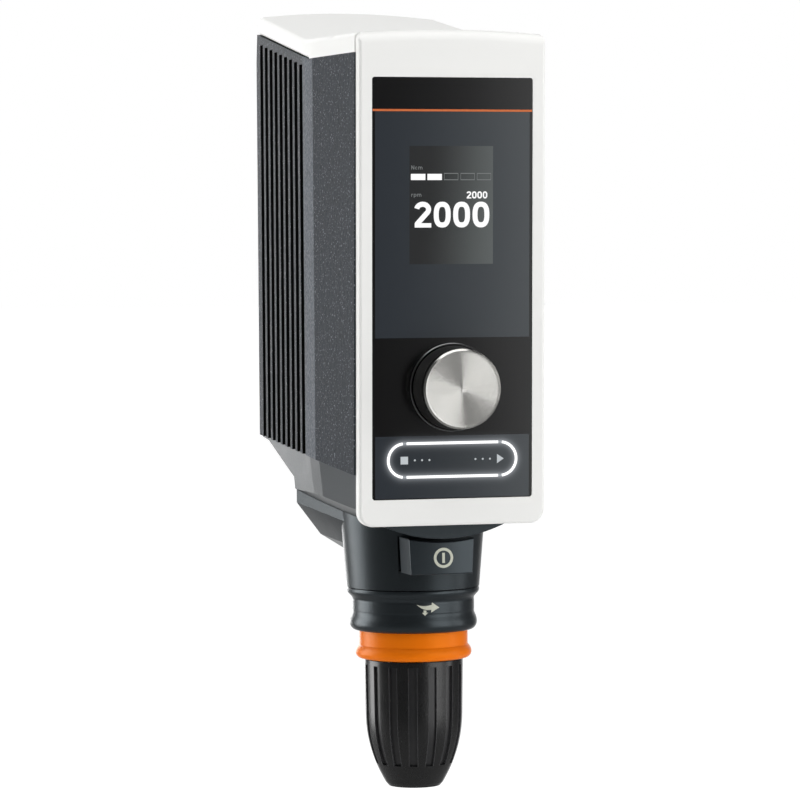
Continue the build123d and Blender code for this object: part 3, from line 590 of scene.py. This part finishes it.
KNOB_UP = 48.1 * mm
GLASS_SUNK = 0.2 * mm
PRINT_HALF = 34.6 * mm
PRINT_FOOT = 0.4 * mm
ORANGE_UP = 166.9 * mm
KNOB_FIELD = (27.25 * mm, 69.5 * mm)
SCREEN = (-19.3 * mm, 101.1 * mm, 18.1 * mm, 151.7 * mm)
SCREEN_LIGHT = (-12 * mm, 18 * mm)      # where the screen's pale side starts and is full
SCREEN_SLANT = (0.8, 0.06)              # how that changes across and up
RING_UP = 16.85 * mm
RING_BEND_X = 21.5 * mm
RING_R = 7.25 * mm
RING_LINE = 1.15 * mm
GLOW_REACH = 0.9 * mm
GLOW_STRENGTH = 0.6
NO_GLOW = (0, 0, 0, 1)

knob_joint = next(joint for joint in frame["joints"] if joint["name"] == "knob_turn")
knob_eye = Vector(knob_joint["pos_m"])
outward = Vector(knob_joint["axis"]).normalized()
upward = outward.cross(Vector((1, 0, 0)))
glass_foot = knob_eye - upward * KNOB_UP - outward * GLASS_SUNK


def on_glass(x, up, height):
    """A point on the glass's face, x to the right and up from its lower edge."""
    return glass_foot + Vector((x, 0, 0)) + upward * up + outward * height


def panel_place(wire):
    """Where a point of the piece lies on the panel: to the right, and up from the foot."""
    lifted = wire.vector("DOT_PRODUCT", wire.spot(), tuple(upward), output=1)
    return wire.spot_axes()[0], lifted - glass_foot.dot(upward)


def printed_glass():
    material, wire = new_finish("printed_glass")
    across, up = panel_place(wire)
    # Painted reflection: the slate fields are painted lighter towards the right.
    reflection_sweep = across.ramp(-PRINT_HALF, PRINT_HALF)
    slate = reflection_sweep.blend(tone("#2b3036"), tone("#3a3f43"))
    fields = inside(up, PRINT_FOOT, KNOB_FIELD[0]) + inside(up, KNOB_FIELD[1], ORANGE_UP)
    base = (inside(across, -PRINT_HALF, PRINT_HALF) * fields).blend(tone("#060607"), slate)
    screen = inside(across, SCREEN[0], SCREEN[2]) * inside(up, SCREEN[1], SCREEN[3])
    # Painted sheen: the screen is painted paler towards the right and a little towards the
    # bottom.
    screen_sheen = across * SCREEN_SLANT[0] - (up - SCREEN[1]) * SCREEN_SLANT[1]
    screen_grey = screen_sheen.ramp(*SCREEN_LIGHT).blend(tone("#272829"), tone("#575c5c"))
    base = screen.blend(base, screen_grey)
    reach_x = wire.math("MAXIMUM", abs(across) - RING_BEND_X, 0)
    from_line = abs(wire.math("SQRT", reach_x ** 2 + (up - RING_UP) ** 2) - RING_R)
    glow = wire.math("EXPONENT", from_line * (-1 / GLOW_REACH))
    smear = wire.grain(30 * mm, 5).ramp(0.5, 0.85)
    wire.close({"Base Color": base, "Roughness": 0.15 + smear * 0.04,
                "Specular IOR Level": 0.45,
                "Emission Color": glow.blend(NO_GLOW, tone("#d2d6dc")),
                "Emission Strength": GLOW_STRENGTH,
                "Normal": wire.dent(wire.grain(40 * mm), 0.02 * mm)})
    return material


dress(printed_glass(), "front_glass")

# ------------------------------------------------------- printed line and lit signs
# A fine orange line under the head band; below it the stop and start signs with their dots, and
# the four bars of the light ring between them. All lie in the glass, hardly proud of its face,
# and the signs are lit from behind by the light guide.

LINE_THICK = 0.9 * mm
GLASS_HALF = 35.7 * mm
RING_GAP = (20.6 * mm, 22.3 * mm)
RING_STEPS = 28
STOP_SIDE = 3.3 * mm
SIGN_X = 21.6 * mm
DOT_X = (10.35 * mm, 13.65 * mm, 16.9 * mm)
DOT_R = 0.42 * mm
DOT_ENDS = (176, 4)                     # degrees, so that the two halves of a dot just part
DOT_STEPS = 10
START_LONG = 3.0 * mm
START_TALL = 4.0 * mm
START_TIP = 0.02 * mm


def lit(name, code, strength):
    """Smoked plastic or ink lit from behind, a little cloudy."""
    material, wire = new_finish(name)
    cloud = wire.grain(2.5 * mm, 2)
    wire.close({"Base Color": cloud.blend(tone("#232527"), tone("#2b2d2f")),
                "Roughness": 0.4 + cloud * 0.1,
                "Emission Color": cloud.blend(tone(code, 0.94), tone(code)),
                "Emission Strength": strength})
    return material


def orange_ink():
    material, wire = new_finish("orange_ink")
    lift = wire.grain(0.6 * mm, 3)
    wire.close({"Base Color": lift.blend(tone("#c45c1c"), tone("#d46a26")),
                "Roughness": 0.4 + lift * 0.1,
                "Normal": wire.dent(lift, 0.01 * mm)})
    return material


def light_ring():
    mesh = bmesh.new()
    short = math.degrees(math.asin((RING_GAP[1] - RING_BEND_X) / RING_R))
    for side in (-1, 1):
        bend = arc((side * RING_BEND_X, RING_UP), RING_R, -90 + short, 90 - short, RING_STEPS,
                   side)
        add_band(mesh, stroke(bend, RING_LINE), on_glass)
        level = RING_UP + side * RING_R
        straight = bar(-RING_GAP[0], level - RING_LINE / 2, RING_GAP[0], level + RING_LINE / 2)
        add_band(mesh, straight, on_glass)
    return mesh


def touch_signs():
    mesh = bmesh.new()
    half = STOP_SIDE / 2
    stop = bar(-SIGN_X - half, RING_UP - half, -SIGN_X + half, RING_UP + half)
    add_band(mesh, stop, on_glass)
    start_x = SIGN_X - START_LONG / 2
    top = [(start_x, RING_UP + START_TALL / 2), (start_x + START_LONG, RING_UP + START_TIP)]
    foot = [(start_x, RING_UP - START_TALL / 2), (start_x + START_LONG, RING_UP - START_TIP)]
    add_band(mesh, (top, foot), on_glass)
    for x in DOT_X:
        for side in (-1, 1):
            halves = [arc((side * x, RING_UP), DOT_R, *[way * end for end in DOT_ENDS], DOT_STEPS)
                      for way in (1, -1)]
            add_band(mesh, halves, on_glass)
    return mesh


def orange_line():
    mesh = bmesh.new()
    edges = bar(-GLASS_HALF, ORANGE_UP - LINE_THICK / 2, GLASS_HALF, ORANGE_UP + LINE_THICK / 2)
    add_band(mesh, edges, on_glass)
    return mesh


piece_from(orange_line(), "orange_line", orange_ink(), "housing")
piece_from(light_ring(), "light_ring", lit("ring_light", "#ffffff", 1.3),
           "housing")
piece_from(touch_signs(), "touch_signs", lit("sign_light", "#c4cace", 0.9),
           "housing")
dress(lit("guide_milk", "#dfe5ea", 0.4), "light_guide")

# ----------------------------------------------------------------- display content
# What the display shows: a five-step bar with two steps filled, the set value and the running
# value in plain numbers, with the units of both beside them. The display module itself is glued
# behind the glass.

BAR_X = -18.7 * mm
BAR_PITCH = 7.38 * mm
BAR_STEP = 6.45 * mm
BAR_UP = (137.1 * mm, 139.75 * mm)
BAR_STEPS = 5
BAR_FILLED = 2
FRAME_LINE = 0.28 * mm
FRAME_RISE = 0.2 * mm                   # the empty steps stand this much taller
MITRE = 1.414                           # widens a frame's line at its corners
BIG_NUMBER = (-17.2 * mm, 116.8 * mm, 11.0 * mm)
SMALL_NUMBER = (6.2 * mm, 129.2 * mm, 3.05 * mm)
UNIT_X = BAR_X + 0.2 * mm
UNIT_TALL = 1.75 * mm
UNITS = (("Ncm", 141.6 * mm), ("rpm", 130.0 * mm))
FIGURE_LINE = 0.2
FIGURE_WIDTH = 0.79
LETTER_LINE = 0.15
LETTER_WIDTH = {"N": 0.95, "c": 0.8, "r": 0.62, "p": 0.86, "m": 1.2}


def glyph_two():
    """The figure 2 in a cell 0.7 wide and 1 tall: a bowl, a diagonal and a foot."""
    bowl = arc((0.342, 0.705), 0.2, 172, -34, 18, 1.2)
    spine = bowl + [(0.1, 0.12)]
    return [(stroke(spine, FIGURE_LINE), False), (bar(0.02, 0, 0.69, 0.17), False)]


def glyph_zero():
    """The figure 0, an oval with fuller shoulders than an ellipse has."""
    fullness = 2 / 2.6
    steps = 40
    points = []
    for i in range(steps):
        turn = 2 * math.pi * i / steps
        c, s = math.cos(turn), math.sin(turn)
        points.append((0.345 + math.copysign(abs(c) ** fullness, c) * 0.243,
                       0.5 + math.copysign(abs(s) ** fullness, s) * 0.402))
    return [(stroke(points, FIGURE_LINE, True), True)]


def glyph_letter(letter):
    """Small letters of the unit signs as plain strokes, for a cap height of 1."""
    hump = arc((0.3, 0.4), 0.24, 180, 0, 8)
    shapes = {
        "N": [[(0.08, 0), (0.08, 1)], [(0.08, 0.97), (0.66, 0.03)], [(0.66, 0), (0.66, 1)]],
        "c": [arc((0.34, 0.35), 0.28, 50, 310, 14)],
        "r": [[(0.08, 0), (0.08, 0.7)], arc((0.32, 0.38), 0.24, 170, 70, 6)],
        "p": [[(0.08, -0.28), (0.08, 0.7)], arc((0.34, 0.35), 0.27, 160, -160, 18)],
        "m": [[(0.08, 0), (0.08, 0.7)], hump + [(0.54, 0)],
              [(x + 0.46, y) for x, y in hump] + [(1.0, 0)]],
    }
    return [(stroke(points, LETTER_LINE), False) for points in shapes[letter]]


def write(mesh, glyphs, x, up, tall):
    """Sets glyphs, given with their widths, from x along the display."""
    for bands, width in glyphs:
        for (left, right), closed in bands:
            edges = [[(x + px * tall, up + py * tall) for px, py in edge]
                     for edge in (left, right)]
            add_band(mesh, edges, on_glass, closed)
        x += width * tall


def display_marks():
    mesh = bmesh.new()
    digits = [(glyph_two(), FIGURE_WIDTH)] + [(glyph_zero(), FIGURE_WIDTH)] * 3
    write(mesh, digits, *BIG_NUMBER)
    write(mesh, digits, *SMALL_NUMBER)
    for i in range(BAR_FILLED):
        x = BAR_X + i * BAR_PITCH
        add_band(mesh, bar(x, BAR_UP[0], x + BAR_STEP, BAR_UP[1]), on_glass)
    return mesh


def display_faint_marks():
    mesh = bmesh.new()
    for i in range(BAR_FILLED, BAR_STEPS):
        x0 = BAR_X + i * BAR_PITCH + FRAME_LINE / 2
        x1 = x0 + BAR_STEP - FRAME_LINE
        low, high = BAR_UP[0] + FRAME_LINE / 2, BAR_UP[1] + FRAME_RISE
        corners = [(x0, low), (x1, low), (x1, high), (x0, high)]
        add_band(mesh, stroke(corners, FRAME_LINE * MITRE, True), on_glass, closed=True)
    for word, up in UNITS:
        letters = [(glyph_letter(letter), LETTER_WIDTH[letter]) for letter in word]
        write(mesh, letters, UNIT_X, up, UNIT_TALL)
    return mesh


piece_from(display_marks(), "display_numbers", lit("display_white", "#ffffff", 1.0),
           "housing")
piece_from(display_faint_marks(), "display_faint_marks", lit("display_grey", "#8b8f8f", 0.55),
           "housing")
dress(moulded("display_face", "#2a2b2b", 0.3, 0.3 * mm, 0.01 * mm), "display_module")

# ---------------------------------------------------------------------------- knob
# A gloss black grip on the encoder's shaft, with a turned metal cap pressed over it, standing in
# a steel ring. The cap's fine tool marks run in circles, so light spreads across them into
# bright and dark sectors.

MARKS_PER_METRE = 20000
MARK_LEAN = 0.8
TOOL_RINGS_PER_METRE = 2600


def turned_cap():
    material, wire = new_finish("turned_cap")
    arm = wire.vector("SUBTRACT", wire.spot(), tuple(knob_eye))
    depth = wire.vector("DOT_PRODUCT", arm, tuple(outward), output=1)
    radial = wire.vector("SUBTRACT", arm, wire.vector("SCALE", tuple(outward), Scale=depth))
    radius = wire.vector("LENGTH", radial, output=1)
    marks = wire.add("TexWhiteNoise", {"noise_dimensions": "1D"}, {"W": radius * MARKS_PER_METRE})
    tilt = (marks - 0.5) * MARK_LEAN
    lean = wire.vector("SCALE", wire.vector("NORMALIZE", radial), Scale=tilt)
    plain = wire.add("NewGeometry", output="Normal")
    rings = wire.add("TexNoise", {"noise_dimensions": "1D"},
                     {"W": radius * TOOL_RINGS_PER_METRE, "Scale": 1.0, "Detail": 2.0})
    wire.close({"Base Color": rings.blend(tone("#c4c3bf"), tone("#d0cfcb")), "Metallic": 1.0,
                "Roughness": 0.145 + rings * 0.05,
                "Normal": wire.vector("NORMALIZE", wire.vector("ADD", plain, lean))})
    return material


def gloss_black():
    material, wire = new_finish("gloss_black")
    smear = wire.grain(6 * mm, 4).ramp(0.5, 0.8)
    wire.close({"Base Color": smear.blend(tone("#292929"), tone("#353534")),
                "Roughness": 0.3 + smear * 0.1, "Specular IOR Level": 0.5,
                "Normal": wire.dent(wire.grain(1.2 * mm), 0.01 * mm)})
    return material


dress(turned_cap(), "knob_cap")
dress(gloss_black(), "knob_grip")
dress(ground_steel("ring_steel", "#8f9091", NO_LINES, 0.22), "knob_ring")

# -------------------------------------------------------------------------- studio
# The head hangs over a pale floor, as it would on its stand. Six soft boxes stand round it: two
# on the right, two on the left, one overhead and one behind. A white backdrop closes the far
# side, and the rest of the room is dim where shiny pieces show it.

FLOOR_Z = -0.30
FLOOR_R = 60.0
FLOOR_STEPS = 64
FLOOR_SHADE = 0.2                       # share of its own shading that the floor shows the eye
FLOOR_GLOW = 1.22                       # brings the rest of it up to the white of the room
ROOM_LEVEL = 0.25                       # the room's own light, apart from the lamps
DIM_LEVEL = 0.09                        # the same, as shiny pieces show it
BACKDROP_WAY = (0.276, 0.961, 0.0)
BACKDROP_SPREAD = (0.82, 0.95)          # cosines from its middle, where it starts and is full
WHITE = (1, 1, 1, 1)
HEAD_MIDDLE = Vector((0, 0.02, 0.2))

# Name, degrees to the right of the front, degrees up, distance, width and height in metres,
# radiance, and whether shiny pieces show it.
SOFT_BOXES = (
    ("right_box", 37.3, 5, 1.7, 1.2, 1.9, 2.15, True),
    ("side_box", 73, 1, 1.8, 0.55, 1.6, 1.9, True),
    ("left_box", -123, 4, 1.6, 1.05, 1.6, 4.0, True),
    ("left_fill", -84, 8, 2.4, 1.6, 1.8, 0.3, False),
    ("overhead_box", -5, 70, 1.5, 1.5, 1.25, 2.55, True),
    ("rear_box", -179, 4, 3.0, 0.9, 2.4, 3.4, True),
)


def passed_on(wire):
    """1 on rays that a glossy or clear surface sends on."""
    mirrored = wire.add("LightPath", output="Is Glossy Ray")
    through = wire.add("LightPath", output="Is Transmission Ray")
    return wire.math("MAXIMUM", mirrored, through)


def white_seen(wire, way):
    """1 for the eye, and 1 in a glossy or clear surface where its ray goes to the backdrop."""
    straight = wire.add("LightPath", output="Is Camera Ray")
    behind = wire.vector("DOT_PRODUCT", way, BACKDROP_WAY, output=1)
    return wire.math("MAXIMUM", straight, passed_on(wire) * behind.ramp(*BACKDROP_SPREAD))


def pale_floor():
    material, wire = new_finish("pale_floor")
    seen = white_seen(wire, wire.vector("NORMALIZE", wire.spot()))
    dust = wire.grain(0.4, 3)
    pale = dust.blend(tone("#f4f4f3"), tone("#f7f7f6"))
    matt = wire.add("BsdfDiffuse", None, {"Color": passed_on(wire).blend(pale, tone("#989898"))})
    white = wire.add("Emission", None, {"Color": WHITE, "Strength": FLOOR_GLOW})
    mixed = wire.add("MixShader", None, {0: seen * (1 - FLOOR_SHADE), 1: matt, 2: white})
    wire.add("OutputMaterial", None, {"Surface": mixed})
    return material


def floor_disc():
    mesh = bmesh.new()
    rim = arc((0, 0), 1, 0, 360, FLOOR_STEPS)[:-1]
    mesh.faces.new([mesh.verts.new((FLOOR_R * x, FLOOR_R * y, FLOOR_Z)) for x, y in rim])
    data = bpy.data.meshes.new("floor")
    mesh.to_mesh(data)
    mesh.free()
    data.materials.append(pale_floor())
    floor = bpy.data.objects.new("floor", data)
    bpy.context.scene.collection.objects.link(floor)


def soft_box(name, azimuth, rise, distance, wide, tall, radiance, shows):
    """A flat lamp turned to the head; the eye never sees it."""
    lamp = bpy.data.lights.new(name, "AREA")
    lamp.shape = "RECTANGLE"
    lamp.size = wide
    lamp.size_y = tall
    lamp.energy = radiance * math.pi * wide * tall
    holder = bpy.data.objects.new(name, lamp)
    bpy.context.scene.collection.objects.link(holder)
    turn, up = math.radians(azimuth), math.radians(rise)
    away = Vector((math.sin(turn) * math.cos(up), -math.cos(turn) * math.cos(up), math.sin(up)))
    holder.location = HEAD_MIDDLE + away * distance
    holder.rotation_euler = away.to_track_quat("Z", "Y").to_euler()
    holder.visible_camera = False
    holder.visible_glossy = shows


def surroundings():
    world = bpy.data.worlds.new("surroundings")
    bpy.context.scene.world = world
    world.use_nodes = True
    world.node_tree.nodes.clear()
    wire = Wire(world.node_tree)
    seen = white_seen(wire, wire.add("TexCoord", output="Generated"))
    room = ROOM_LEVEL - passed_on(wire) * (ROOM_LEVEL - DIM_LEVEL)
    level = wire.math("MAXIMUM", seen, room)
    sky = wire.add("Background", None, {"Color": WHITE, "Strength": level})
    wire.add("OutputWorld", None, {"Surface": sky})


floor_disc()
for box in SOFT_BOXES:
    soft_box(*box)
surroundings()

# -------------------------------------------------------------------------- camera
# A long lens on a tripod, a little to the left of the panel and looking slightly down, so that
# the left flank and the cap's face both show.

CAMERA_PLACE = (-0.4420, -1.5377, 0.2291)
CAMERA_TURN = math.radians(15.85)
CAMERA_DOWN = math.radians(2.013)
CAMERA_ROLL = math.radians(-0.44)
LENS_MM = 160.875
SENSOR_MM = 36
SIGHT_END = 60

lens = bpy.data.cameras.new("camera")
lens.lens = LENS_MM
lens.sensor_width = SENSOR_MM
lens.clip_end = SIGHT_END
camera = bpy.data.objects.new("camera", lens)
bpy.context.scene.collection.objects.link(camera)
aim = (Matrix.Rotation(-CAMERA_TURN, 4, "Z") @ Matrix.Rotation(math.pi / 2 - CAMERA_DOWN, 4, "X")
       @ Matrix.Rotation(CAMERA_ROLL, 4, "Z"))
camera.matrix_world = Matrix.Translation(CAMERA_PLACE) @ aim
bpy.context.scene.camera = camera
bpy.context.scene.view_settings.view_transform = "Standard"
